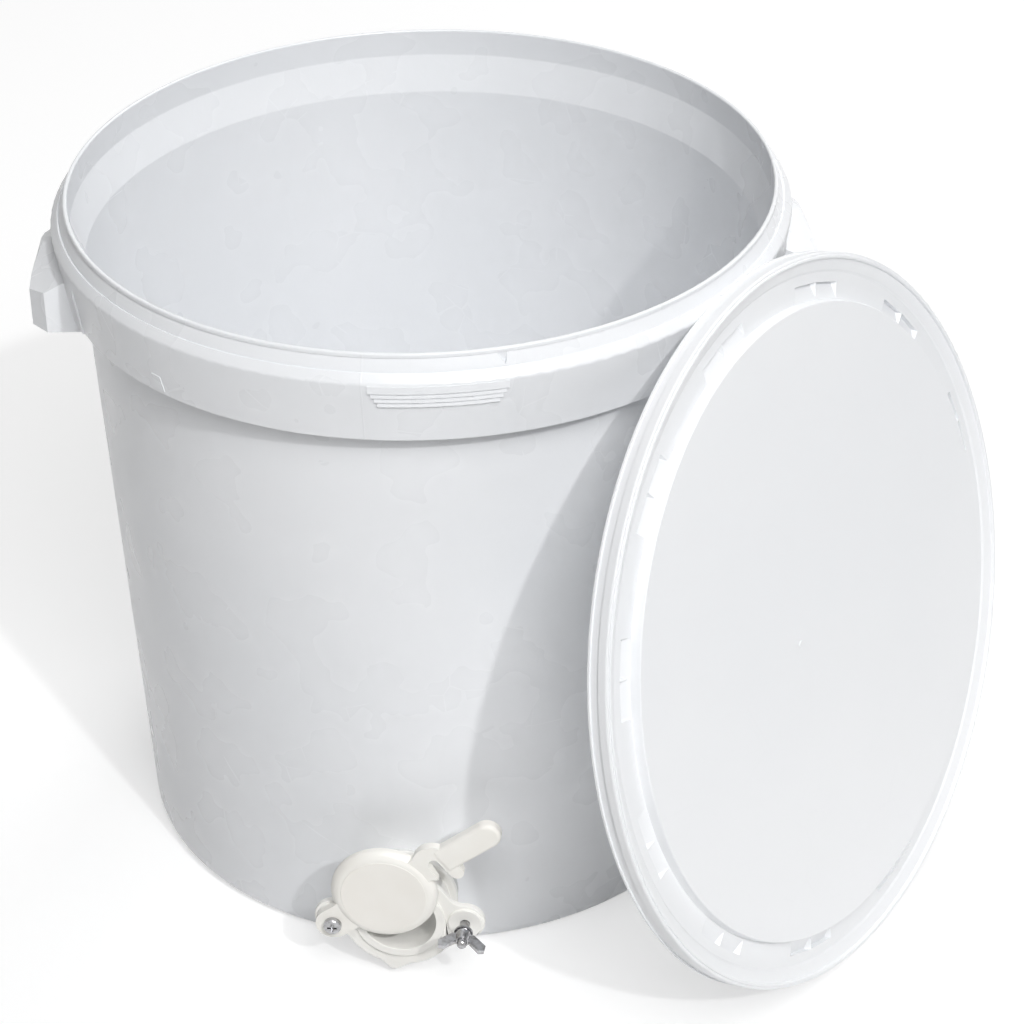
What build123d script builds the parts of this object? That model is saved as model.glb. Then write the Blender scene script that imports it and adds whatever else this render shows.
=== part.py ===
from build123d import *
from math import asin, atan2, cos, degrees, radians, sin, sqrt
import os

os.makedirs("parts", exist_ok=True)

# Bucket: +Z up, origin at the centre of the base, outlet gate on the -Y side.
bucket_height = 372.0
base_r = 162.0
mouth_r = 180.0
wall_top_r = mouth_r - 2.6
wall = 2.3
floor_t = 2.8
base_corner = 8.0
lip_t = 2.3
lip_round = 1.0
lip_bead_h = 2.4
lip_bead_in = 0.5
neck_drop = 14.5
neck_step = 20.0
neck_round = 4.0
groove_drop = 8.0
groove_r = mouth_r + 5.2
groove_w = 1.1
groove_depth = 0.8
skirt_top_drop = 12.6
skirt_top_r = mouth_r + 9.5
skirt_height = 33.0
skirt_draft = 5.2
skirt_round = 2.4

# Ribbed pad and the two moulded side grips
pad_azimuth = 9.0
pad_top_drop = 13.4
pad_first_rib = 3.8
pad_rib_pitch = 2.5
pad_rib_depth = 1.1
pad_span = 20.2
pad_span_step = 0.9
pad_ribs = 4
grip_azimuth = 94.0
grip_shift = 26.0
grip_half = 39.0
grip_reach = 6.6
grip_wall = 2.4
grip_shoulder_drop = 16.4
grip_hang = 6.4
grip_corner_in = 8.5
grip_corner_along = 9.0
grip_bevel_drop = 16.9
grip_foot_arc = 4.5
grip_foot_t = 0.9
grip_foot_drop = 6.0

# Small marks of the moulding: a notch in the neck and a tab on the skirt
notch_azimuth = 18.6
notch_width = 5.2
notch_drop = 1.8
notch_height = 6.0
notch_depth = 0.6
tab_azimuth = -37.0
tab_low_width = 8.0
tab_high_width = 5.6
tab_height = 8.5
tab_t = 0.3

# Outlet gate
gate_height = 38.4
spigot_r = 23.4
bore_r = spigot_r - 4.4
flange_r = spigot_r + 4.8
flange_t = 4.5
barrel_r = spigot_r + 1.1
barrel_length = 14.1
plate_r = spigot_r + 6.4
plate_t = 3.4
seat_r = spigot_r + 0.2
seat_rise = 1.5
half_span = spigot_r + 10.7
screw_r = 2.5
ear_r = screw_r + 7.8
ear_boss_r = screw_r + 6.3
ear_blend_r = 8.0
nose_drop = plate_r - 0.1
nose_shift = -3.6
nose_r = 4.0
nose_lead_shift = -12.0
nose_lead_drop = plate_r - 9.3
nose_blend_r = 3.0
gasket_min = 1.6
nut_flange_r = spigot_r + 5.1
lock_nut_t = 8.0
lock_nut_lobes = 6
spigot_past_nut = 3.0

# Blade, in its own frame: x from the pivot towards the disc
blade_open = 36.9
disc_r = spigot_r + 4.2
disc_edge_t = 1.6
plateau_r = disc_r - 5.2
disc_bulge = 1.0
blade_t = 5.5
blade_ear_r = screw_r + 6.5
hook_t = 4.5
handle_end = 2 * half_span + 41.3
handle_width = 14.5
handle_rise = 0.65
handle_round = 2.2
hook_r = screw_r + 8.0
hook_shift = 2.0
slot_width = 2 * screw_r + 0.8
slot_rise = 1.3
slot_side = 2 * half_span + 3.2
lobe_r = 3.6
lobe_drop = 9.4

# Fasteners
pan_head_r = screw_r + 2.2
pan_head_h = 3.2
cross_reach = screw_r
cross_w = 1.1
cross_depth = 2.0
hex_r = screw_r + 2.1
hex_t = 4.0
clamp_bolt_out = 17.2
washer_r = screw_r + 2.4
washer_t = 1.0
nut_loose = 1.6
wing_hub_r = screw_r + 1.6
wing_hub_h = 6.0
wing_span = 24.6
wing_reach = 12.6
wing_t = 2.1
wing_turn = 7.0

# Lid, leaning on the bucket
lid_azimuth = 61.2
lid_lean = 13.2
lid_wall = 1.8
rim_rise = 4.2
rim_step = 0.9
rim_step_in = 1.6
rim_bead_in = 3.5
rim_band_rise = 2.4
rim_foot = 1.2
rim_foot_rise = 0.8
rim_roof_t = 1.2
rim_roof_rise = 1.2
rim_groove_top = 1.6
rim_groove_depth = 0.9
rim_lip_t = 1.0
ring_t = 3.8
panel_r = mouth_r - 17.0
panel_rise = 5.5
panel_t = 2.0
plug_depth = 5.4
pocket_pairs = 12
pocket_first = 19.4
pocket_length = 19.6
pocket_width = 8.0
pocket_inset = 0.9
pocket_depth = 2.9
pocket_slope = 1.8
nub_r = 1.6
nub_shift = -22.0

# Clearances
running_gap = 0.3
pin_fit = 0.08
thread_fit = 0.15
seat_gap = 0.3

wall_draft = (wall_top_r - base_r) / bucket_height
groove_z = bucket_height - groove_drop
skirt_top_z = bucket_height - skirt_top_drop
skirt_z = skirt_top_z - skirt_height
skirt_bottom_r = skirt_top_r - skirt_draft
shoulder_end_r = groove_r + groove_w / 2
shoulder_end_z = groove_z - groove_w / 4
neck_z = bucket_height - neck_drop
ledge_z = skirt_top_z - wall
neck_outer_r = mouth_r + lip_t - 0.3


def wall_r(z):
    return base_r + wall_draft * z


def radial_plane(azimuth):
    a = radians(azimuth)
    return Plane(origin=(0, 0, 0), x_dir=(sin(a), -cos(a), 0), z_dir=(-cos(a), -sin(a), 0))


def tangent_plane(azimuth, depth):
    a = radians(azimuth)
    return Plane(origin=(depth * sin(a), -depth * cos(a), 0), x_dir=(cos(a), sin(a), 0), z_dir=(sin(a), -cos(a), 0))


def skirt_r(z):
    return skirt_bottom_r + skirt_draft * (z - skirt_z) / skirt_height


def corner(sketch, x, y):
    return sketch.vertices().sort_by_distance((x, y, 0))[0]


# Side grip, facing +X: a hood with bevelled ends, open below and towards the skirt
grip_r = skirt_top_r + grip_reach
grip_low = grip_shift - grip_half
grip_high = grip_shift + grip_half
shoulder_z = skirt_top_z - grip_shoulder_drop
grip_z = skirt_z - grip_hang
grip_root_z = skirt_top_z - skirt_round
grip_back = sqrt((skirt_bottom_r - 2 * wall) ** 2 - grip_high**2)

with BuildPart() as left_grip:
    with BuildSketch(Plane.XY.offset(grip_z)):
        with BuildLine():
            Polyline(
                (grip_back, grip_low),
                (grip_r - grip_corner_in, grip_low),
                (grip_r, grip_low + grip_corner_along),
                (grip_r, grip_high - grip_corner_along),
                (grip_r - grip_corner_in, grip_high),
                (grip_back, grip_high),
                close=True,
            )
        make_face()
    extrude(amount=grip_root_z - grip_z)
    roof_normal = (grip_root_z - shoulder_z, 0, grip_reach)
    split(bisect_by=Plane(origin=(grip_r, 0, shoulder_z), z_dir=roof_normal), keep=Keep.BOTTOM)
    for end, lean_y in ((grip_low, -0.22), (grip_high, 0.22)):
        bevel_origin = (grip_r - grip_corner_in, end, skirt_top_z - grip_bevel_drop)
        split(bisect_by=Plane(origin=bevel_origin, z_dir=(0.46, lean_y, 0.86)), keep=Keep.BOTTOM)
    open_faces = [left_grip.faces().sort_by(Axis.Z)[0], left_grip.faces().sort_by(Axis.X)[0]]
    offset(amount=-grip_wall, openings=open_faces)
    with Locations((0, 0, grip_z - 1)):
        Cone(
            skirt_r(grip_z - 1) - wall / 2,
            skirt_r(grip_root_z + 1) - wall / 2,
            grip_root_z - grip_z + 2,
            align=(Align.CENTER, Align.CENTER, Align.MIN),
            mode=Mode.SUBTRACT,
        )

right_grip = mirror(left_grip.part, about=Plane.XZ)


with BuildPart() as bucket:
    step_z = neck_z - neck_step
    with BuildSketch(Plane.XZ) as profile:
        with BuildLine():
            Polyline(
                (0, 0),
                (base_r, 0),
                (wall_r(step_z - wall), step_z - wall),
                (neck_outer_r, neck_z - wall),
                (neck_outer_r, ledge_z),
                (skirt_r(ledge_z) - wall, ledge_z),
                (skirt_bottom_r - wall, skirt_z),
                (skirt_bottom_r, skirt_z),
                (skirt_top_r, skirt_top_z),
                (shoulder_end_r, shoulder_end_z),
                (groove_r - groove_depth / 2, groove_z - groove_depth),
                (groove_r - groove_w / 2, groove_z + groove_w / 4),
                (mouth_r + lip_t - lip_bead_in, bucket_height - lip_bead_h),
                (mouth_r + lip_t, bucket_height - lip_bead_h + lip_bead_in / 2),
                (mouth_r + lip_t, bucket_height),
                (mouth_r, bucket_height),
                (neck_outer_r - wall, neck_z),
                (wall_r(step_z) - wall, step_z),
                (wall_r(floor_t) - wall, floor_t),
                (0, floor_t),
                close=True,
            )
        make_face()
        fillet(corner(profile, base_r, 0), base_corner)
        fillet(corner(profile, wall_r(floor_t) - wall, floor_t), base_corner - wall)
        fillet(corner(profile, skirt_top_r, skirt_top_z), skirt_round)
        fillet(corner(profile, mouth_r + lip_t, bucket_height), lip_round)
        fillet(corner(profile, mouth_r, bucket_height), lip_round)
        fillet(corner(profile, wall_r(step_z - wall), step_z - wall), neck_round)
        fillet(corner(profile, wall_r(step_z) - wall, step_z), neck_round)
        fillet(corner(profile, neck_outer_r - wall, neck_z), neck_round)
        fillet(corner(profile, skirt_bottom_r, skirt_z), lip_round / 2)
    revolve(axis=Axis.Z)

    # Ribbed pad on the skirt: saw-tooth ribs, each shorter than the one above and the first one tallest
    low = bucket_height - pad_top_drop
    for i in range(pad_ribs):
        span = pad_span - i * pad_span_step
        top = low
        low = top - (pad_rib_pitch if i else pad_first_rib)
        with BuildSketch(radial_plane(pad_azimuth - span / 2)):
            with BuildLine():
                Polyline(
                    (skirt_r(top) - wall / 2, top),
                    (skirt_r(top) + pad_rib_depth / 4, top),
                    (skirt_r(low) + pad_rib_depth, low),
                    (skirt_r(low) - wall / 2, low),
                    close=True,
                )
            make_face()
        revolve(axis=Axis.Z, revolution_arc=span)

    # Flat foot on the skirt beside each grip's end nearer the gate
    grip_end_turn = degrees(asin(grip_high / skirt_bottom_r))
    foot_left = pad_azimuth - grip_azimuth + grip_end_turn - 0.5
    foot_right = pad_azimuth + grip_azimuth - grip_end_turn - grip_foot_arc
    foot_top_z = skirt_top_z - grip_foot_drop
    for foot_start in (foot_left, foot_right):
        with BuildSketch(radial_plane(foot_start)):
            with BuildLine():
                Polyline(
                    (skirt_r(foot_top_z) - wall / 2, foot_top_z),
                    (skirt_r(foot_top_z), foot_top_z),
                    (skirt_r(foot_top_z - 2 * wall) + grip_foot_t, foot_top_z - 2 * wall),
                    (skirt_bottom_r + grip_foot_t, skirt_z),
                    (skirt_bottom_r - wall / 2, skirt_z),
                    close=True,
                )
            make_face()
        revolve(axis=Axis.Z, revolution_arc=grip_foot_arc + 0.5)

    # Grips on both sides, each turned from facing +X to its own azimuth
    with Locations(Location((0, 0, 0), (0, 0, pad_azimuth - grip_azimuth - 90))):
        add(left_grip.part)
    with Locations(Location((0, 0, 0), (0, 0, pad_azimuth + grip_azimuth - 90))):
        add(right_grip)

    # Wedge notch in the neck, and the tab on the skirt
    notch_z = bucket_height - notch_drop
    with BuildSketch(tangent_plane(notch_azimuth, mouth_r + lip_t - notch_depth)):
        with BuildLine():
            Polyline(
                (-notch_width / 2, notch_z),
                (notch_width / 2, notch_z),
                (notch_width / 4, notch_z - notch_height),
                close=True,
            )
        make_face()
    extrude(amount=wall * 2, mode=Mode.SUBTRACT)
    tab_z = skirt_z + skirt_round
    tab_turn = radians(tab_azimuth)
    skirt_tilt = atan2(skirt_draft, skirt_height)
    tab_plane = Plane(
        origin=(skirt_r(tab_z) * sin(tab_turn), -skirt_r(tab_z) * cos(tab_turn), tab_z),
        x_dir=(cos(tab_turn), sin(tab_turn), 0),
        z_dir=(sin(tab_turn) * cos(skirt_tilt), -cos(tab_turn) * cos(skirt_tilt), -sin(skirt_tilt)),
    )
    with BuildSketch(tab_plane):
        with BuildLine():
            Polyline(
                (-tab_low_width / 2, 0),
                (tab_low_width / 2, 0),
                (tab_high_width / 2, tab_height),
                (-tab_high_width / 2, tab_height),
                close=True,
            )
        make_face()
    extrude(amount=tab_t, both=True)

    # Hole for the gate's spigot
    with Locations(Location((0, -base_r, gate_height), (90, 0, 0))):
        Cylinder(spigot_r + running_gap, base_corner * 4, mode=Mode.SUBTRACT)


# Gate stack, measured outwards from the bucket's axis
flange_back = wall_r(gate_height + flange_r) + gasket_min
plate_back = flange_back + flange_t + barrel_length
face_y = plate_back + plate_t + seat_rise
inner_wall_r = wall_r(gate_height - flange_r) - wall
nut_face = sqrt(inner_wall_r**2 - flange_r**2) - gasket_min
spigot_end = nut_face - lock_nut_t - spigot_past_nut


def gate_plane(depth):
    return Plane(origin=(0, -depth, gate_height), x_dir=(1, 0, 0), z_dir=(0, -1, 0))


with BuildPart() as gate_body:
    # Mounting plate: two ears, a drip nose and the round seat. One straight side joins nose and ear
    with BuildSketch(gate_plane(plate_back)) as outline:
        with Locations((nose_shift, -nose_drop), (nose_lead_shift, -nose_lead_drop)):
            Circle(nose_r)
        with Locations((half_span, 0)):
            Circle(ear_r)
        make_hull()
        Circle(plate_r)
        fillet(outline.vertices().sort_by_distance((nose_lead_shift, -plate_r))[0], nose_blend_r)
        SlotCenterToCenter(2 * half_span, 2 * ear_r)
        ear_corners = outline.vertices().filter_by(
            lambda v: abs(abs(v.Y) - ear_r) < 0.01 and abs(v.X) < half_span - 1
        )
        fillet(ear_corners, ear_blend_r)
    extrude(amount=plate_t)
    with BuildSketch(gate_plane(plate_back + plate_t)):
        Circle(seat_r)
        with Locations((-half_span, 0), (half_span, 0)):
            Circle(ear_boss_r)
    extrude(amount=seat_rise)
    with BuildSketch(gate_plane(flange_back + flange_t)):
        Circle(barrel_r)
    extrude(amount=barrel_length)
    with BuildSketch(gate_plane(flange_back)):
        Circle(flange_r)
    extrude(amount=flange_t)
    with BuildSketch(gate_plane(spigot_end)):
        Circle(spigot_r)
    extrude(amount=flange_back - spigot_end)
    with BuildSketch(gate_plane(spigot_end)):
        Circle(bore_r)
    extrude(amount=face_y - spigot_end, mode=Mode.SUBTRACT)
    with BuildSketch(gate_plane(plate_back)):
        with Locations((-half_span, 0), (half_span, 0)):
            Circle(screw_r + pin_fit)
    extrude(amount=plate_t + seat_rise, mode=Mode.SUBTRACT)
    flange_rims = gate_body.edges().filter_by(GeomType.CIRCLE).filter_by(lambda e: abs(e.radius - flange_r) < 0.01)
    chamfer(flange_rims, 0.6)


with BuildPart() as outer_gasket:
    with BuildSketch(gate_plane(flange_back)):
        Circle(flange_r - 0.6)
        Circle(spigot_r + thread_fit, mode=Mode.SUBTRACT)
    extrude(amount=-(flange_back - inner_wall_r + flange_r / 2))
    Cone(base_r, wall_top_r, bucket_height, align=(Align.CENTER, Align.CENTER, Align.MIN), mode=Mode.SUBTRACT)


with BuildPart() as inner_gasket:
    with BuildSketch(gate_plane(nut_face)):
        Circle(nut_flange_r)
        Circle(spigot_r + thread_fit, mode=Mode.SUBTRACT)
    extrude(amount=wall_r(gate_height) - nut_face)
    Cone(
        base_r - wall,
        wall_top_r - wall,
        bucket_height,
        align=(Align.CENTER, Align.CENTER, Align.MIN),
        mode=Mode.INTERSECT,
    )


with BuildPart() as lock_nut:
    with BuildSketch(gate_plane(nut_face - lock_nut_t)):
        Circle(nut_flange_r - 2.5)
        with PolarLocations(nut_flange_r - 3.5, lock_nut_lobes):
            Circle(3.5)
        Circle(spigot_r + thread_fit, mode=Mode.SUBTRACT)
    extrude(amount=lock_nut_t)


blade_angle = radians(blade_open)
bolt_at = 2 * half_span


def blade_plane(depth):
    origin = (-half_span, -face_y - depth, gate_height)
    return Plane(origin=origin, x_dir=(cos(blade_angle), 0, sin(blade_angle)), z_dir=(0, -1, 0))


# Handle in the blade's frame, with its front edges eased
handle_start = bolt_at + washer_r + 2 * running_gap
handle_tip = handle_end - handle_width / 2

with BuildPart() as blade_handle:
    with BuildSketch():
        with Locations((handle_tip, handle_rise)):
            Circle(handle_width / 2)
        with Locations(((handle_start + handle_tip) / 2, handle_rise)):
            Rectangle(handle_tip - handle_start, handle_width)
    extrude(amount=blade_t)
    front_edges = blade_handle.faces().sort_by(Axis.Z)[-1].edges().sort_by(Axis.X)
    fillet(front_edges[1:], handle_round)


# Disc with a rounded shoulder up to its flat face, on its own axis
shoulder_run = disc_r - plateau_r
shoulder_rise = blade_t - disc_edge_t
shoulder_slant = sqrt(shoulder_run**2 + shoulder_rise**2)

with BuildPart() as blade_disc:
    with BuildSketch(Plane.XZ):
        with BuildLine():
            Polyline((plateau_r, blade_t), (0, blade_t), (0, 0), (disc_r, 0), (disc_r, disc_edge_t))
            ThreePointArc(
                (disc_r, disc_edge_t),
                (
                    disc_r - shoulder_run / 2 + disc_bulge * shoulder_rise / shoulder_slant,
                    disc_edge_t + shoulder_rise / 2 + disc_bulge * shoulder_run / shoulder_slant,
                ),
                (plateau_r, blade_t),
            )
        make_face()
    revolve(axis=Axis.Z)


with BuildPart() as gate_blade:
    with BuildSketch(blade_plane(running_gap)):
        Circle(blade_ear_r)
        with Locations((half_span / 2, 0)):
            Rectangle(half_span, 2 * blade_ear_r)
        with Locations((bolt_at, hook_shift)):
            Circle(hook_r)
        with Locations(((bolt_at + half_span) / 2, hook_shift)):
            Rectangle(half_span, hook_r * 1.5)
        # Lobe under the handle's root, beside the slot
        with Locations((slot_side + lobe_r, -lobe_drop)):
            Circle(lobe_r)
        with Locations((slot_side + lobe_r, -lobe_drop / 2)):
            Rectangle(2 * lobe_r, lobe_drop)
    extrude(amount=hook_t)
    with Locations(blade_plane(running_gap).location * Location((half_span, 0, 0))):
        add(blade_disc.part)
    with Locations(blade_plane(running_gap).location):
        add(blade_handle.part)
    # Slot that hooks over the clamp bolt, open on the lower side
    with BuildSketch(blade_plane(running_gap)):
        with Locations((bolt_at, slot_rise)):
            Circle(slot_width / 2)
        with BuildLine():
            Polyline(
                (bolt_at - slot_width / 2, slot_rise),
                (bolt_at + slot_width / 2, slot_rise),
                (slot_side, -2 * hook_r),
                (bolt_at - slot_width, -2 * hook_r),
                close=True,
            )
        make_face()
    extrude(amount=blade_t, mode=Mode.SUBTRACT)
    with BuildSketch(blade_plane(running_gap)):
        Circle(screw_r + pin_fit)
    extrude(amount=blade_t, mode=Mode.SUBTRACT)


def fastener_plane(x, depth):
    return Plane(origin=(x, -depth, gate_height), x_dir=(1, 0, 0), z_dir=(0, -1, 0))


with BuildPart() as pivot_screw:
    head_back = face_y + running_gap + hook_t + running_gap
    shank_start = plate_back - hex_t - 1.0
    with BuildSketch(fastener_plane(-half_span, shank_start)):
        Circle(screw_r)
    extrude(amount=head_back - shank_start)
    with BuildSketch(fastener_plane(-half_span, head_back)):
        Circle(pan_head_r)
    extrude(amount=pan_head_h)
    rim = pivot_screw.faces().sort_by(Axis.Y)[0].edges()
    fillet(rim, pan_head_h * 0.55)
    with BuildSketch(fastener_plane(-half_span, head_back + pan_head_h)):
        Rectangle(2 * cross_reach, cross_w)
        Rectangle(cross_w, 2 * cross_reach)
    extrude(amount=-cross_depth, mode=Mode.SUBTRACT)


with BuildPart() as pivot_nut:
    with BuildSketch(fastener_plane(-half_span, plate_back - hex_t)):
        RegularPolygon(hex_r, 6)
        Circle(screw_r + thread_fit, mode=Mode.SUBTRACT)
    extrude(amount=hex_t)


with BuildPart() as clamp_bolt:
    with BuildSketch(fastener_plane(half_span, plate_back - hex_t)):
        RegularPolygon(hex_r, 6)
    extrude(amount=hex_t)
    with BuildSketch(fastener_plane(half_span, plate_back)):
        Circle(screw_r)
    extrude(amount=face_y + clamp_bolt_out - plate_back)
    chamfer(clamp_bolt.faces().sort_by(Axis.Y)[0].edges(), 0.5)


washer_back = face_y + running_gap + hook_t + running_gap + nut_loose
nut_back = washer_back + washer_t + running_gap

with BuildPart() as clamp_washer:
    with BuildSketch(fastener_plane(half_span, washer_back)):
        Circle(washer_r)
        Circle(screw_r + pin_fit, mode=Mode.SUBTRACT)
    extrude(amount=washer_t)


with BuildPart() as wing_nut:
    with BuildSketch(fastener_plane(half_span, nut_back)):
        Circle(wing_hub_r)
    extrude(amount=wing_hub_h, taper=6)
    # Both wings lie in one plane through the bolt's axis and flare away from the wall
    turn = radians(wing_turn)
    wing_plane = Plane(
        origin=(half_span, -nut_back, gate_height),
        x_dir=(cos(turn), 0, -sin(turn)),
        z_dir=(sin(turn), 0, cos(turn)),
    )
    with BuildSketch(wing_plane.offset(-wing_t / 2)):
        for way in (-1, 1):
            with BuildLine():
                Polyline(
                    (way * wing_hub_r * 0.7, -0.8),
                    (way * wing_hub_r * 1.4, -1.0),
                    (way * wing_span / 2, -wing_reach * 0.62),
                    (way * wing_span / 2 * 0.96, -wing_reach * 0.94),
                    (way * wing_span / 2 * 0.72, -wing_reach),
                    (way * wing_hub_r * 0.7, -wing_hub_h * 0.95),
                    close=True,
                )
            make_face()
    extrude(amount=wing_t)
    with BuildSketch(fastener_plane(half_span, nut_back)):
        Circle(screw_r + pin_fit)
    extrude(amount=wing_hub_h * 2, mode=Mode.SUBTRACT)


# Lid in its own frame: +Z out of the top face, z = 0 on the sunk ring, x along the floor
lid_outer_r = groove_r + seat_gap + lid_wall
plug_r = mouth_r - seat_gap
plug_inner_r = plug_r - lid_wall
ring_edge_r = plug_inner_r + 0.4
bead_r = lid_outer_r - rim_bead_in
band_slope = (rim_band_rise - rim_foot_rise) / (bead_r - ring_edge_r)
lip_seat = rim_foot_rise + band_slope * (plug_r - ring_edge_r) - rim_roof_t
lid_depth = groove_drop - seat_gap - lip_seat
pocket_outer_r = panel_r + pocket_inset + pocket_width

# Wedge pocket for lifting the lid: deep at its outer side, with sloping ends, facing +X
with BuildPart() as pocket:
    with BuildSketch(Plane.YZ.offset(pocket_outer_r)):
        with BuildLine():
            Polyline(
                (-pocket_length / 2, 1),
                (pocket_length / 2, 1),
                (pocket_length / 2, 0),
                (pocket_length / 2 - pocket_slope, -pocket_depth),
                (pocket_slope - pocket_length / 2, -pocket_depth),
                (-pocket_length / 2, 0),
                close=True,
            )
        make_face()
    extrude(amount=-pocket_width)
    floor_origin = (pocket_outer_r - pocket_width, 0, 0)
    split(bisect_by=Plane(origin=floor_origin, z_dir=(pocket_depth, 0, pocket_width)), keep=Keep.TOP)

with BuildPart() as lid_flat:
    with BuildSketch(Plane.XZ) as lid_profile:
        with BuildLine():
            Polyline(
                (0, panel_rise),
                (panel_r, panel_rise),
                (panel_r + 0.5, 0),
                (ring_edge_r - rim_foot, 0),
                (ring_edge_r, rim_foot_rise),
                (bead_r, rim_band_rise),
                (bead_r + 0.3, rim_rise),
                (lid_outer_r - rim_step_in, rim_rise),
                (lid_outer_r - rim_step_in, rim_rise - rim_step),
                (lid_outer_r, rim_rise - rim_step),
                (lid_outer_r, -rim_groove_top),
                (lid_outer_r - rim_groove_depth, -rim_groove_top),
                (lid_outer_r - rim_groove_depth, rim_lip_t - lid_depth),
                (lid_outer_r, rim_lip_t - lid_depth),
                (lid_outer_r, -lid_depth),
                (lid_outer_r - lid_wall, -lid_depth),
                (lid_outer_r - lid_wall, lip_seat + rim_roof_rise),
                (plug_r, lip_seat),
                (plug_r, -plug_depth),
                (plug_inner_r, -plug_depth),
                (plug_inner_r, -ring_t),
                (panel_r - panel_t, -ring_t),
                (panel_r - panel_t, panel_rise - panel_t),
                (0, panel_rise - panel_t),
                close=True,
            )
        make_face()
        fillet(corner(lid_profile, lid_outer_r, rim_rise - rim_step), 1.0)
        fillet(corner(lid_profile, lid_outer_r - rim_step_in, rim_rise), 0.5)
        fillet(corner(lid_profile, bead_r + 0.3, rim_rise), 0.5)
        fillet(corner(lid_profile, panel_r, panel_rise), 0.8)
    revolve(axis=Axis.Z)
    # Pairs of wedge pockets sunk in the ring
    for pair in range(pocket_pairs):
        for half in (-1, 1):
            half_turn = degrees(pocket_length / pocket_outer_r) / 2 + 0.1
            turn = 90 - pocket_first - pair * 360 / pocket_pairs - half * half_turn
            with Locations(Location((0, 0, 0), (0, 0, turn))):
                add(pocket.part, mode=Mode.SUBTRACT)
    with Locations((nub_shift, 0, panel_rise)):
        Cylinder(nub_r, 1.2)

lean = radians(lid_lean)
lid_centre_z = lid_outer_r * cos(lean) + lid_depth * sin(lean)


def outline_r(z):
    if z < skirt_z:
        return wall_r(z)
    if z < skirt_top_z:
        return skirt_r(z)
    if z < shoulder_end_z:
        # The gap is kept square to the sloping shoulder
        slope = (skirt_top_r - shoulder_end_r) / (shoulder_end_z - skirt_top_z)
        return skirt_top_r - slope * (z - skirt_top_z) + seat_gap * (sqrt(1 + slope**2) - 1)
    return shoulder_end_r


def needed_out(r, depth):
    z = lid_centre_z + r * cos(lean) - depth * sin(lean)
    if z > bucket_height:
        return 0
    return outline_r(z) + seat_gap + r * sin(lean) + depth * cos(lean)


# The lid touches by its rim or plug, or its underside lies on the skirt's top edge
edge_rise = (skirt_top_z - lid_centre_z) / cos(lean)
under_depth = panel_t - panel_rise if edge_rise < panel_r - panel_t else ring_t
lid_centre_out = max(
    needed_out(lid_outer_r - lid_wall, lid_depth),
    needed_out(plug_r, plug_depth),
    skirt_top_r + seat_gap + edge_rise * sin(lean) + under_depth / cos(lean),
)
lid_turn = radians(lid_azimuth)
lid_plane = Plane(
    origin=(lid_centre_out * sin(lid_turn), -lid_centre_out * cos(lid_turn), lid_centre_z),
    x_dir=(cos(lid_turn), sin(lid_turn), 0),
    z_dir=(cos(lean) * sin(lid_turn), -cos(lean) * cos(lid_turn), sin(lean)),
)

with BuildPart() as lid:
    with Locations(lid_plane.location):
        add(lid_flat.part)


bucket.part.label = "bucket"
export_step(bucket.part, "parts/bucket.step")
gate_body.part.label = "gate_body"
export_step(gate_body.part, "parts/gate_body.step")
outer_gasket.part.label = "outer_gasket"
export_step(outer_gasket.part, "parts/outer_gasket.step")
inner_gasket.part.label = "inner_gasket"
export_step(inner_gasket.part, "parts/inner_gasket.step")
lock_nut.part.label = "lock_nut"
export_step(lock_nut.part, "parts/lock_nut.step")
gate_blade.part.label = "gate_blade"
export_step(gate_blade.part, "parts/gate_blade.step")
pivot_screw.part.label = "pivot_screw"
export_step(pivot_screw.part, "parts/pivot_screw.step")
pivot_nut.part.label = "pivot_nut"
export_step(pivot_nut.part, "parts/pivot_nut.step")
clamp_bolt.part.label = "clamp_bolt"
export_step(clamp_bolt.part, "parts/clamp_bolt.step")
clamp_washer.part.label = "clamp_washer"
export_step(clamp_washer.part, "parts/clamp_washer.step")
wing_nut.part.label = "wing_nut"
export_step(wing_nut.part, "parts/wing_nut.step")
lid.part.label = "lid"
export_step(lid.part, "parts/lid.step")
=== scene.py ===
import bpy
import math
from mathutils import Matrix, Vector


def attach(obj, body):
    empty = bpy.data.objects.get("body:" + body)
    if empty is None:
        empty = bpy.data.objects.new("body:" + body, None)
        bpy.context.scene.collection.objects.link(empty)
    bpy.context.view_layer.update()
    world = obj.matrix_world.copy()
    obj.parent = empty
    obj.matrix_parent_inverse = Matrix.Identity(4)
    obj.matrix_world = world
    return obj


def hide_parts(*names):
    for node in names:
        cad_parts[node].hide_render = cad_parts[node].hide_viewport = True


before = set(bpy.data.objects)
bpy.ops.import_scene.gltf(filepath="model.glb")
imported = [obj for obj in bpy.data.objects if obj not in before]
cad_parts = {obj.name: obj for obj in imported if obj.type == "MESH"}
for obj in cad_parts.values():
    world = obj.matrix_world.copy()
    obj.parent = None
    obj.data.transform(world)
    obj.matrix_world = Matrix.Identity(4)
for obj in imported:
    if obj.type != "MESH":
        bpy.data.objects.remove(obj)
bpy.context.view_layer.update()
print("frame loaded")


def newGroup(name, inputs, outputs):
    group = bpy.data.node_groups.new(name, "ShaderNodeTree")
    for label, kind, start in inputs:
        socket = group.interface.new_socket(label, in_out="INPUT", socket_type=kind)
        if start is not None:
            socket.default_value = start
    for label, kind in outputs:
        group.interface.new_socket(label, in_out="OUTPUT", socket_type=kind)
    return group, group.nodes.new("NodeGroupInput"), group.nodes.new("NodeGroupOutput")


def mathNode(tree, operation, first, second=None, third=None):
    node = tree.nodes.new("ShaderNodeMath")
    node.operation = operation
    for index, value in enumerate((first, second, third)):
        if value is None:
            continue
        if isinstance(value, (int, float)):
            node.inputs[index].default_value = value
        else:
            tree.links.new(value, node.inputs[index])
    return node.outputs[0]


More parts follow.
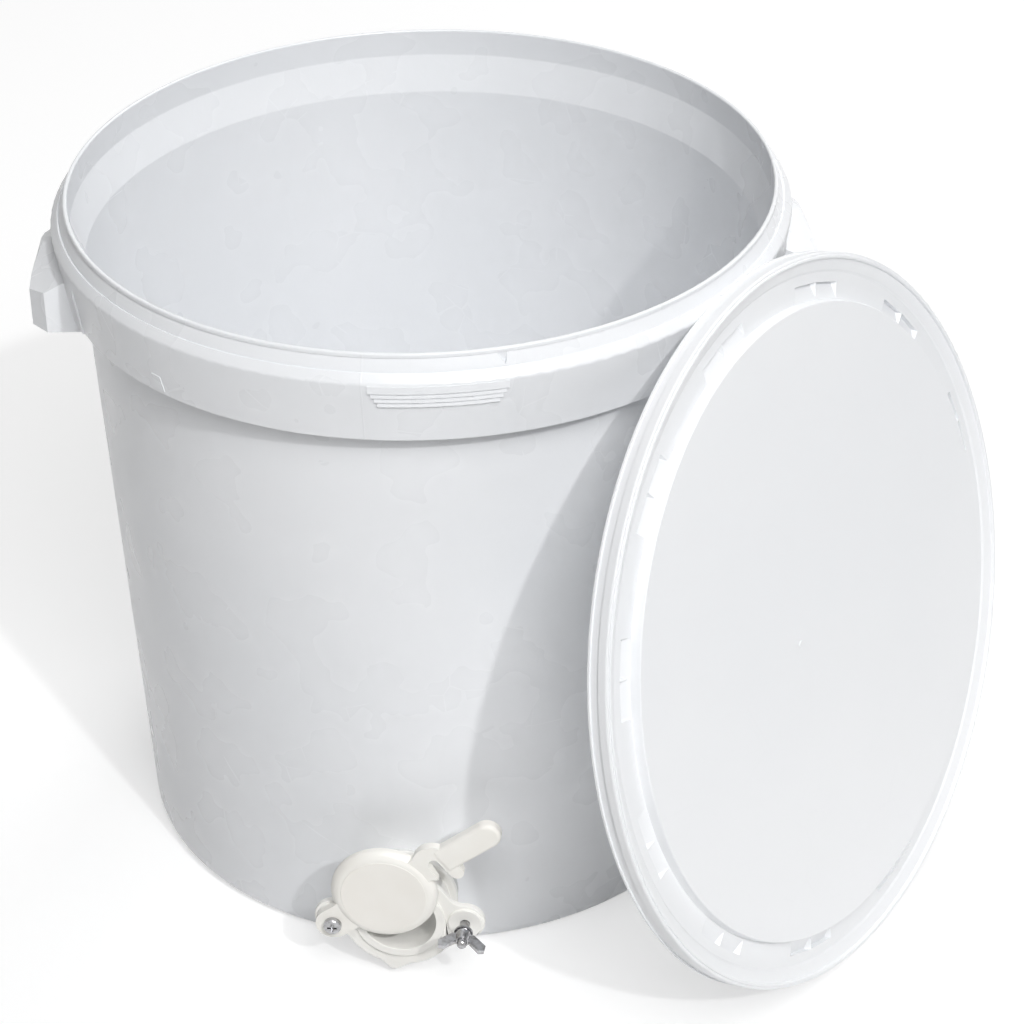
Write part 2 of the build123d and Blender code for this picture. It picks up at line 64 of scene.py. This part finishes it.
def noiseNode(tree, vector, scale, detail=4.0, roughness=0.5):
    node = tree.nodes.new("ShaderNodeTexNoise")
    node.inputs["Detail"].default_value = detail
    node.inputs["Roughness"].default_value = roughness
    if isinstance(scale, (int, float)):
        node.inputs["Scale"].default_value = scale
    else:
        tree.links.new(scale, node.inputs["Scale"])
    tree.links.new(vector, node.inputs["Vector"])
    return node.outputs[0]


def rangeNode(tree, value, low, high, newLow=0.0, newHigh=1.0):
    node = tree.nodes.new("ShaderNodeMapRange")
    node.interpolation_type = "SMOOTHSTEP"
    tree.links.new(value, node.inputs["Value"])
    for label, number in (("From Min", low), ("From Max", high), ("To Min", newLow), ("To Max", newHigh)):
        if isinstance(number, (int, float)):
            node.inputs[label].default_value = number
        else:
            tree.links.new(number, node.inputs[label])
    return node.outputs[0]


def mixColour(tree, factor, first, second):
    node = tree.nodes.new("ShaderNodeMix")
    node.data_type = "RGBA"
    if isinstance(factor, (int, float)):
        node.inputs[0].default_value = factor
    else:
        tree.links.new(factor, node.inputs[0])
    for index, value in ((6, first), (7, second)):
        if isinstance(value, (tuple, list)):
            node.inputs[index].default_value = (*value, 1.0)
        else:
            tree.links.new(value, node.inputs[index])
    return node.outputs[2]


mouldedGrain = {
    "cloudDetail": 2.0, "cloudRoughness": 0.4, "grainDetail": 3.0, "grainRoughness": 0.6,
    "streakStretch": (1.0, 1.0, 0.12), "streakSize": 60.0, "streakDetail": 3.0, "streakRoughness": 0.6,
    "polishSize": 34.0, "polishDetail": 2.0, "polishRoughness": 0.4,
}


# Cloudy tone and fine surface texture of moulded plastic
def buildMouldedGroup(grainLook):
    group, start, end = newGroup(
        "mouldedPlastic",
        [("Vector", "NodeSocketVector", None), ("Cloud Size", "NodeSocketFloat", 9.0),
         ("Grain Size", "NodeSocketFloat", 420.0), ("Flow", "NodeSocketFloat", 0.5)],
        [("Cloud", "NodeSocketFloat"), ("Height", "NodeSocketFloat"), ("Polish", "NodeSocketFloat")])
    vector = start.outputs["Vector"]
    cloud = noiseNode(group, vector, start.outputs["Cloud Size"],
                      grainLook["cloudDetail"], grainLook["cloudRoughness"])
    grain = noiseNode(group, vector, start.outputs["Grain Size"],
                      grainLook["grainDetail"], grainLook["grainRoughness"])
    stretched = group.nodes.new("ShaderNodeVectorMath")
    stretched.operation = "MULTIPLY"
    stretched.inputs[1].default_value = grainLook["streakStretch"]
    group.links.new(vector, stretched.inputs[0])
    streak = noiseNode(group, stretched.outputs[0], grainLook["streakSize"],
                       grainLook["streakDetail"], grainLook["streakRoughness"])
    flow = mathNode(group, "MULTIPLY", streak, start.outputs["Flow"])
    height = mathNode(group, "ADD", grain, flow)
    polish = noiseNode(group, vector, grainLook["polishSize"],
                       grainLook["polishDetail"], grainLook["polishRoughness"])
    group.links.new(cloud, end.inputs["Cloud"])
    group.links.new(height, end.inputs["Height"])
    group.links.new(polish, end.inputs["Polish"])
    return group


scratchShape = {
    "warpSize": 7.0, "warpDetail": 0.0, "warpReach": (0.03, 0.03, 0.03), "lineWidth": 0.012,
    "breakSize": 26.0, "breakDetail": 2.0, "breakFrom": 0.5, "breakTo": 0.62,
}


# Thin random scratches, as a mask
def buildScratchGroup(shape):
    group, start, end = newGroup(
        "fineScratches",
        [("Vector", "NodeSocketVector", None), ("Size", "NodeSocketFloat", 40.0),
         ("Amount", "NodeSocketFloat", 0.5)],
        [("Mask", "NodeSocketFloat")])
    vector = start.outputs["Vector"]
    warp = group.nodes.new("ShaderNodeTexNoise")
    warp.inputs["Scale"].default_value = shape["warpSize"]
    warp.inputs["Detail"].default_value = shape["warpDetail"]
    group.links.new(vector, warp.inputs["Vector"])
    bent = group.nodes.new("ShaderNodeVectorMath")
    bent.operation = "MULTIPLY_ADD"
    bent.inputs[1].default_value = shape["warpReach"]
    group.links.new(warp.outputs["Color"], bent.inputs[0])
    group.links.new(vector, bent.inputs[2])
    cells = group.nodes.new("ShaderNodeTexVoronoi")
    cells.feature = "DISTANCE_TO_EDGE"
    group.links.new(bent.outputs[0], cells.inputs["Vector"])
    group.links.new(start.outputs["Size"], cells.inputs["Scale"])
    line = rangeNode(group, cells.outputs["Distance"], 0.0, shape["lineWidth"], 1.0, 0.0)
    breaks = noiseNode(group, vector, shape["breakSize"], shape["breakDetail"])
    broken = rangeNode(group, breaks, shape["breakFrom"], shape["breakTo"])
    mask = mathNode(group, "MULTIPLY", mathNode(group, "MULTIPLY", line, broken), start.outputs["Amount"])
    group.links.new(mask, end.inputs["Mask"])
    return group


mouldedGroup = buildMouldedGroup(mouldedGrain)
scratchGroup = buildScratchGroup(scratchShape)
print("shader groups made")


def startMaterial(name):
    material = bpy.data.materials.new(name)
    material.use_nodes = True
    tree = material.node_tree
    shader = tree.nodes["Principled BSDF"]
    place = tree.nodes.new("ShaderNodeTexCoord")
    return material, tree, shader, place.outputs["Object"]


def groupNode(tree, group, **values):
    node = tree.nodes.new("ShaderNodeGroup")
    node.node_tree = group
    for label, value in values.items():
        socket = node.inputs[label.replace("_", " ")]
        if isinstance(value, (int, float)):
            socket.default_value = value
        else:
            tree.links.new(value, socket)
    return node


def bumpInto(tree, shader, height, strength, distance):
    bump = tree.nodes.new("ShaderNodeBump")
    bump.inputs["Strength"].default_value = strength
    bump.inputs["Distance"].default_value = distance
    tree.links.new(height, bump.inputs["Height"])
    tree.links.new(bump.outputs[0], shader.inputs["Normal"])
    return bump


# Fine upright line on the front where the mould's halves met, above a height
def partingMask(tree, place, look):
    apart = tree.nodes.new("ShaderNodeSeparateXYZ")
    tree.links.new(place, apart.inputs[0])
    across = mathNode(tree, "MULTIPLY_ADD", apart.outputs["Y"], look["partingSlope"], apart.outputs["X"])
    line = rangeNode(tree, mathNode(tree, "ABSOLUTE", across), 0.0, look["partingWidth"], 1.0, 0.0)
    front = mathNode(tree, "LESS_THAN", apart.outputs["Y"], 0.0)
    above = mathNode(tree, "GREATER_THAN", apart.outputs["Z"], look["partingFrom"])
    return mathNode(tree, "MULTIPLY", mathNode(tree, "MULTIPLY", line, front), above)


plasticMix = {
    "toneFrom": 0.3, "toneTo": 0.7, "polishFrom": 0.25, "polishTo": 0.75,
    "scratchDull": 0.25, "scratchCut": -1.5, "refraction": 1.49,
}


def makePlastic(name, look):
    material, tree, shader, place = startMaterial(name)
    moulded = groupNode(tree, mouldedGroup, Vector=place, Cloud_Size=look["cloudSize"],
                        Grain_Size=look["grainSize"], Flow=look["flow"])
    scratches = groupNode(tree, scratchGroup, Vector=place,
                          Size=look["scratchSize"], Amount=look["scratches"])
    tone = rangeNode(tree, moulded.outputs["Cloud"], plasticMix["toneFrom"], plasticMix["toneTo"])
    colour = mixColour(tree, tone, look["darkTone"], look["lightTone"])
    colour = mixColour(tree, scratches.outputs["Mask"], colour, look["scratchTone"])
    tree.links.new(colour, shader.inputs["Base Color"])
    low, high = look["roughness"]
    rough = rangeNode(tree, moulded.outputs["Polish"], plasticMix["polishFrom"],
                      plasticMix["polishTo"], low, high)
    rough = mathNode(tree, "MULTIPLY_ADD", scratches.outputs["Mask"], plasticMix["scratchDull"], rough)
    tree.links.new(rough, shader.inputs["Roughness"])
    height = mathNode(tree, "MULTIPLY_ADD", scratches.outputs["Mask"], plasticMix["scratchCut"],
                      moulded.outputs["Height"])
    if "partingWidth" in look:
        parting = partingMask(tree, place, look)
        height = mathNode(tree, "MULTIPLY_ADD", parting, look["partingHeight"], height)
    bumpInto(tree, shader, height, look["bump"], look["bumpDepth"])
    shader.inputs["IOR"].default_value = plasticMix["refraction"]
    return material


whiteLook = {
    "cloudSize": 7.0, "grainSize": 380.0, "flow": 0.6, "scratchSize": 26.0, "scratches": 0.12,
    "darkTone": (0.835, 0.85, 0.872), "lightTone": (0.87, 0.882, 0.902), "scratchTone": (0.80, 0.815, 0.84),
    "roughness": (0.25, 0.33), "bump": 0.12, "bumpDepth": 0.0004,
    "partingWidth": 0.0006, "partingSlope": -0.035, "partingFrom": 0.326, "partingHeight": 4.0,
}
lidLook = {
    "cloudSize": 6.0, "grainSize": 420.0, "flow": 0.2, "scratchSize": 22.0, "scratches": 0.2,
    "darkTone": (0.85, 0.863, 0.882), "lightTone": (0.88, 0.89, 0.905), "scratchTone": (0.82, 0.83, 0.85),
    "roughness": (0.3, 0.44), "bump": 0.1, "bumpDepth": 0.0004,
}
creamLook = {
    "cloudSize": 45.0, "grainSize": 900.0, "flow": 0.3, "scratchSize": 120.0, "scratches": 0.2,
    "darkTone": (0.88, 0.868, 0.83), "lightTone": (0.92, 0.91, 0.875), "scratchTone": (0.82, 0.80, 0.75),
    "roughness": (0.34, 0.5), "bump": 0.15, "bumpDepth": 0.0002,
}
bladeLook = {
    "cloudSize": 38.0, "grainSize": 800.0, "flow": 0.3, "scratchSize": 110.0, "scratches": 0.25,
    "darkTone": (0.89, 0.868, 0.815), "lightTone": (0.92, 0.905, 0.86), "scratchTone": (0.83, 0.80, 0.74),
    "roughness": (0.34, 0.5), "bump": 0.15, "bumpDepth": 0.0002,
}
faceLook = {
    "cloudSize": 38.0, "grainSize": 800.0, "flow": 0.3, "scratchSize": 110.0, "scratches": 0.25,
    "darkTone": (0.885, 0.857, 0.80), "lightTone": (0.912, 0.888, 0.84), "scratchTone": (0.84, 0.81, 0.75),
    "roughness": (0.34, 0.5), "bump": 0.15, "bumpDepth": 0.0002,
}
rubberLook = {
    "cloudSize": 60.0, "grainSize": 1200.0, "flow": 0.1, "scratchSize": 90.0, "scratches": 0.1,
    "darkTone": (0.62, 0.62, 0.61), "lightTone": (0.70, 0.70, 0.69), "scratchTone": (0.58, 0.58, 0.57),
    "roughness": (0.6, 0.75), "bump": 0.25, "bumpDepth": 0.0002,
}
whitePlastic = makePlastic("whitePlastic", whiteLook)
lidPlastic = makePlastic("lidPlastic", lidLook)
creamPlastic = makePlastic("creamPlastic", creamLook)
bladePlastic = makePlastic("bladePlastic", bladeLook)
facePlastic = makePlastic("facePlastic", faceLook)
gasketRubber = makePlastic("gasketRubber", rubberLook)

# Steel look; its dark cloudy patches are painted dark reflection, standing in for the dark surroundings
# mirrored in chrome
steelLook = {
    "colour": (0.52, 0.52, 0.535), "paintedDarkReflection": (0.24, 0.235, 0.23), "reflectionPatchFrom": 0.35, "reflectionPatchTo": 0.75,
    "cloudSize": 260.0, "cloudDetail": 4.0, "cloudRoughness": 0.6,
    "scratchSize": 420.0, "scratches": 0.6, "grainSize": 1500.0, "grainDetail": 2.0,
    "roughness": (0.08, 0.24), "roughFrom": 0.3, "roughTo": 0.7, "bump": 0.12, "bumpDepth": 0.0001,
}


def makeSteel(name, look):
    material, tree, shader, place = startMaterial(name)
    cloud = noiseNode(tree, place, look["cloudSize"], look["cloudDetail"], look["cloudRoughness"])
    scratches = groupNode(tree, scratchGroup, Vector=place,
                          Size=look["scratchSize"], Amount=look["scratches"])
    # Painted dark reflection: random cloudy patches mixed towards a dark tone
    paintedReflection = rangeNode(tree, cloud, look["reflectionPatchFrom"], look["reflectionPatchTo"])
    colour = mixColour(tree, paintedReflection, look["colour"], look["paintedDarkReflection"])
    tree.links.new(colour, shader.inputs["Base Color"])
    low, high = look["roughness"]
    rough = rangeNode(tree, cloud, look["roughFrom"], look["roughTo"], low, high)
    tree.links.new(rough, shader.inputs["Roughness"])
    grain = noiseNode(tree, place, look["grainSize"], look["grainDetail"])
    height = mathNode(tree, "SUBTRACT", grain, scratches.outputs["Mask"])
    bumpInto(tree, shader, height, look["bump"], look["bumpDepth"])
    shader.inputs["Metallic"].default_value = 1.0
    return material


brightSteel = makeSteel("brightSteel", steelLook)
print("materials made")


def deselectAll():
    bpy.ops.object.select_all(action="DESELECT")


def pickOnly(piece):
    deselectAll()
    piece.select_set(True)
    bpy.context.view_layer.objects.active = piece


def applyAll(piece):
    pickOnly(piece)
    for modifier in list(piece.modifiers):
        bpy.ops.object.modifier_apply(modifier=modifier.name)


meshCare = {"mergeGap": 0.000002, "quadTurn": 0.5, "quadShape": 60.0, "flatTurn": 0.05, "edgeTurn": 35.0}


# A node's shape as one clean mesh, with its edges rounded where its settings say so
def finishedCopy(nodeName, pieceName, body, material, finish):
    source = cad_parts[nodeName]
    piece = bpy.data.objects.new(pieceName, source.data.copy())
    bpy.context.scene.collection.objects.link(piece)
    pickOnly(piece)
    bpy.ops.object.mode_set(mode="EDIT")
    bpy.ops.mesh.select_all(action="SELECT")
    bpy.ops.mesh.remove_doubles(threshold=meshCare["mergeGap"])
    bpy.ops.mesh.tris_convert_to_quads(face_threshold=math.radians(meshCare["quadTurn"]),
                                       shape_threshold=math.radians(meshCare["quadShape"]))
    bpy.ops.mesh.dissolve_limited(angle_limit=math.radians(meshCare["flatTurn"]))
    bpy.ops.object.mode_set(mode="OBJECT")
    if piece.data.has_custom_normals:
        bpy.ops.mesh.customdata_custom_splitnormals_clear()
    if "edgeRound" in finish:
        bevel = piece.modifiers.new("edgeRound", "BEVEL")
        bevel.width = finish["edgeRound"]
        bevel.segments = finish["edgeSteps"]
        bevel.limit_method = "ANGLE"
        bevel.angle_limit = math.radians(meshCare["edgeTurn"])
    bpy.ops.object.shade_smooth_by_angle(angle=math.radians(finish["smoothAngle"]))
    weighted = piece.modifiers.new("faceWeight", "WEIGHTED_NORMAL")
    weighted.keep_sharp = True
    applyAll(piece)
    piece.data.materials.clear()
    piece.data.materials.append(material)
    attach(piece, body)
    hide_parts(nodeName)
    return piece


bucketFinish = {"smoothAngle": 28.0}
finishedCopy("bucket", "bucket_shell", "bucket", whitePlastic, bucketFinish)

lidFinish = {"smoothAngle": 12.0}
finishedCopy("lid", "lid_shell", "lid", lidPlastic, lidFinish)

gateFinish = {"smoothAngle": 28.0, "edgeRound": 0.0012, "edgeSteps": 3}
finishedCopy("gate_body", "gate_casting", "bucket", creamPlastic, gateFinish)

# The blade, whose disc's flat face stands a hair proud inside a fine line
bladeFinish = {
    "smoothAngle": 28.0, "edgeRound": 0.0012, "edgeSteps": 3, "frontTurn": -0.99,
    "faceInset": 0.0004, "faceRise": 0.00025,
}
bladeShell = finishedCopy(
    "gate_blade", "blade_casting", "blade", bladePlastic, bladeFinish)
bladeShell.data.materials.append(facePlastic)
pickOnly(bladeShell)
bpy.ops.object.mode_set(mode="EDIT")
bpy.ops.mesh.select_mode(type="FACE")
bpy.ops.mesh.select_all(action="DESELECT")
bpy.ops.object.mode_set(mode="OBJECT")
frontFaces = [face for face in bladeShell.data.polygons if face.normal.y < bladeFinish["frontTurn"]]
discFace = max(frontFaces, key=lambda face: face.area)
discFace.select = True
bpy.ops.object.mode_set(mode="EDIT")
bpy.ops.mesh.inset(thickness=bladeFinish["faceInset"])
bpy.ops.mesh.extrude_region_move(TRANSFORM_OT_translate={"value": (0, -bladeFinish["faceRise"], 0)})
bladeShell.active_material_index = 1
bpy.ops.object.material_slot_assign()
bpy.ops.object.mode_set(mode="OBJECT")
bpy.ops.object.shade_smooth_by_angle(angle=math.radians(bladeFinish["smoothAngle"]))
print("blade face raised")

ringFinish = {"smoothAngle": 28.0, "edgeRound": 0.0005, "edgeSteps": 2}
finishedCopy("lock_nut", "lock_ring", "bucket", creamPlastic, ringFinish)

screwFinish = {"smoothAngle": 28.0}
finishedCopy("pivot_screw", "pan_screw", "bucket", brightSteel, screwFinish)

wingFinish = {"smoothAngle": 28.0, "edgeRound": 0.0003, "edgeSteps": 2}
finishedCopy("wing_nut", "wing_piece", "wing", brightSteel, wingFinish)

boltFinish = {"smoothAngle": 28.0}
finishedCopy("clamp_bolt", "bolt_piece", "bucket", brightSteel, boltFinish)

for nodeName, material in (("outer_gasket", gasketRubber), ("inner_gasket", gasketRubber),
                           ("pivot_nut", brightSteel), ("clamp_washer", brightSteel)):
    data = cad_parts[nodeName].data
    data.materials.clear()
    data.materials.append(material)
print("pieces finished")


stageLook = {
    "floorSize": 60.0, "floorDrop": 0.0004, "floorRoughness": 0.9,
    "floorColour": (0.85, 0.85, 0.85), "seenColour": (1.22, 1.22, 1.22), "seenWhite": 0.55,
    "fill": 0.03, "fillTone": (1.0, 1.0, 1.0),
}


# What the camera, a gloss or a clear piece sees directly, and not the light on the object
def seenDirectly(tree):
    ray = tree.nodes.new("ShaderNodeLightPath")
    seen = mathNode(tree, "MAXIMUM", ray.outputs["Is Camera Ray"], ray.outputs["Is Glossy Ray"])
    return mathNode(tree, "MAXIMUM", seen, ray.outputs["Is Transmission Ray"])


deselectAll()
bpy.ops.mesh.primitive_plane_add(size=stageLook["floorSize"], location=(0, 0, -stageLook["floorDrop"]))
floor = bpy.context.object
floor.name = "floor"
bpy.ops.object.transform_apply(location=True, rotation=True, scale=True)
floorMaterial, floorTree, floorShader = startMaterial("paleFloor")[:3]
floorShader.inputs["Roughness"].default_value = stageLook["floorRoughness"]
floorShader.inputs["Specular IOR Level"].default_value = 0.0
floorSeen = seenDirectly(floorTree)
floorTone = mixColour(floorTree, floorSeen, stageLook["floorColour"], stageLook["seenColour"])
floorTree.links.new(floorTone, floorShader.inputs["Base Color"])
floorGlow = floorTree.nodes.new("ShaderNodeEmission")
floorGlow.inputs["Color"].default_value = (1, 1, 1, 1)
floorMix = floorTree.nodes.new("ShaderNodeMixShader")
floorTree.links.new(mathNode(floorTree, "MULTIPLY", floorSeen, stageLook["seenWhite"]), floorMix.inputs[0])
floorTree.links.new(floorShader.outputs[0], floorMix.inputs[1])
floorTree.links.new(floorGlow.outputs[0], floorMix.inputs[2])
floorTree.links.new(floorMix.outputs[0], floorTree.nodes["Material Output"].inputs[0])
floor.data.materials.append(floorMaterial)

world = bpy.data.worlds.new("studio")
bpy.context.scene.world = world
world.use_nodes = True
worldTree = world.node_tree
background = worldTree.nodes["Background"]
background.inputs["Color"].default_value = (*stageLook["fillTone"], 1.0)
background.inputs["Strength"].default_value = stageLook["fill"]
plainWhite = worldTree.nodes.new("ShaderNodeBackground")
plainWhite.inputs["Color"].default_value = (1, 1, 1, 1)
plainWhite.inputs["Strength"].default_value = 1.0
worldMix = worldTree.nodes.new("ShaderNodeMixShader")
worldTree.links.new(seenDirectly(worldTree), worldMix.inputs[0])
worldTree.links.new(background.outputs[0], worldMix.inputs[1])
worldTree.links.new(plainWhite.outputs[0], worldMix.inputs[2])
worldTree.links.new(worldMix.outputs[0], worldTree.nodes["World Output"].inputs[0])


lampTarget = Vector((0.05, 0.0, 0.18))


# A lamp that looks at the object from a given side, height and distance
def aimed(name, data, look):
    lamp = bpy.data.objects.new(name, data)
    bpy.context.scene.collection.objects.link(lamp)
    turn = math.radians(look["azimuth"])
    lift = math.radians(look["elevation"])
    way = Vector((math.sin(turn) * math.cos(lift), -math.cos(turn) * math.cos(lift), math.sin(lift)))
    lamp.rotation_euler = way.to_track_quat("Z", "Y").to_euler()
    lamp.location = lampTarget + way * look["distance"]


def softLamp(name, look):
    data = bpy.data.lights.new(name, "AREA")
    data.shape = "DISK"
    data.size = look["size"]
    data.energy = look["power"]
    aimed(name, data, look)


keyLook = {"azimuth": 34.5, "elevation": 42.8, "distance": 3.0, "strength": 0.97, "spread": 2.0}
keyData = bpy.data.lights.new("keyLight", "SUN")
keyData.energy = keyLook["strength"]
keyData.angle = math.radians(keyLook["spread"])
aimed("keyLight", keyData, keyLook)

softLook = {"azimuth": 15.0, "elevation": 50.0, "distance": 3.0, "size": 1.6, "power": 49.0}
softLamp("softBox", softLook)

rearLook = {"azimuth": 150.0, "elevation": 50.0, "distance": 3.0, "size": 1.6, "power": 30.0}
softLamp("rearBox", rearLook)

topLook = {"azimuth": 0.0, "elevation": 88.0, "distance": 3.0, "size": 1.6, "power": 9.0}
softLamp("topBox", topLook)

cameraLook = {
    "target": (0.0428, 0.0044, 0.1671), "back": (0.0868, -0.8366, 0.5408), "distance": 1.74165,
    "roll": -0.0206993, "lens": 112.304, "sensor": 36.0, "nearClip": 0.05, "farClip": 200.0,
}
cameraData = bpy.data.cameras.new("camera")
cameraData.lens = cameraLook["lens"]
cameraData.sensor_width = cameraLook["sensor"]
cameraData.clip_start = cameraLook["nearClip"]
cameraData.clip_end = cameraLook["farClip"]
camera = bpy.data.objects.new("camera", cameraData)
bpy.context.scene.collection.objects.link(camera)
backWay = Vector(cameraLook["back"]).normalized()
rightFlat = Vector((0, 0, 1)).cross(backWay).normalized()
upFlat = backWay.cross(rightFlat)
rollCos = math.cos(cameraLook["roll"])
rollSin = math.sin(cameraLook["roll"])
rightWay = rightFlat * rollCos + upFlat * rollSin
upWay = upFlat * rollCos - rightFlat * rollSin
spot = Vector(cameraLook["target"]) + backWay * cameraLook["distance"]
camera.matrix_world = Matrix((
    (rightWay.x, upWay.x, backWay.x, spot.x),
    (rightWay.y, upWay.y, backWay.y, spot.y),
    (rightWay.z, upWay.z, backWay.z, spot.z),
    (0, 0, 0, 1)))
bpy.context.scene.camera = camera
bpy.context.scene.view_settings.view_transform = "Standard"
print("stage, light and camera set")
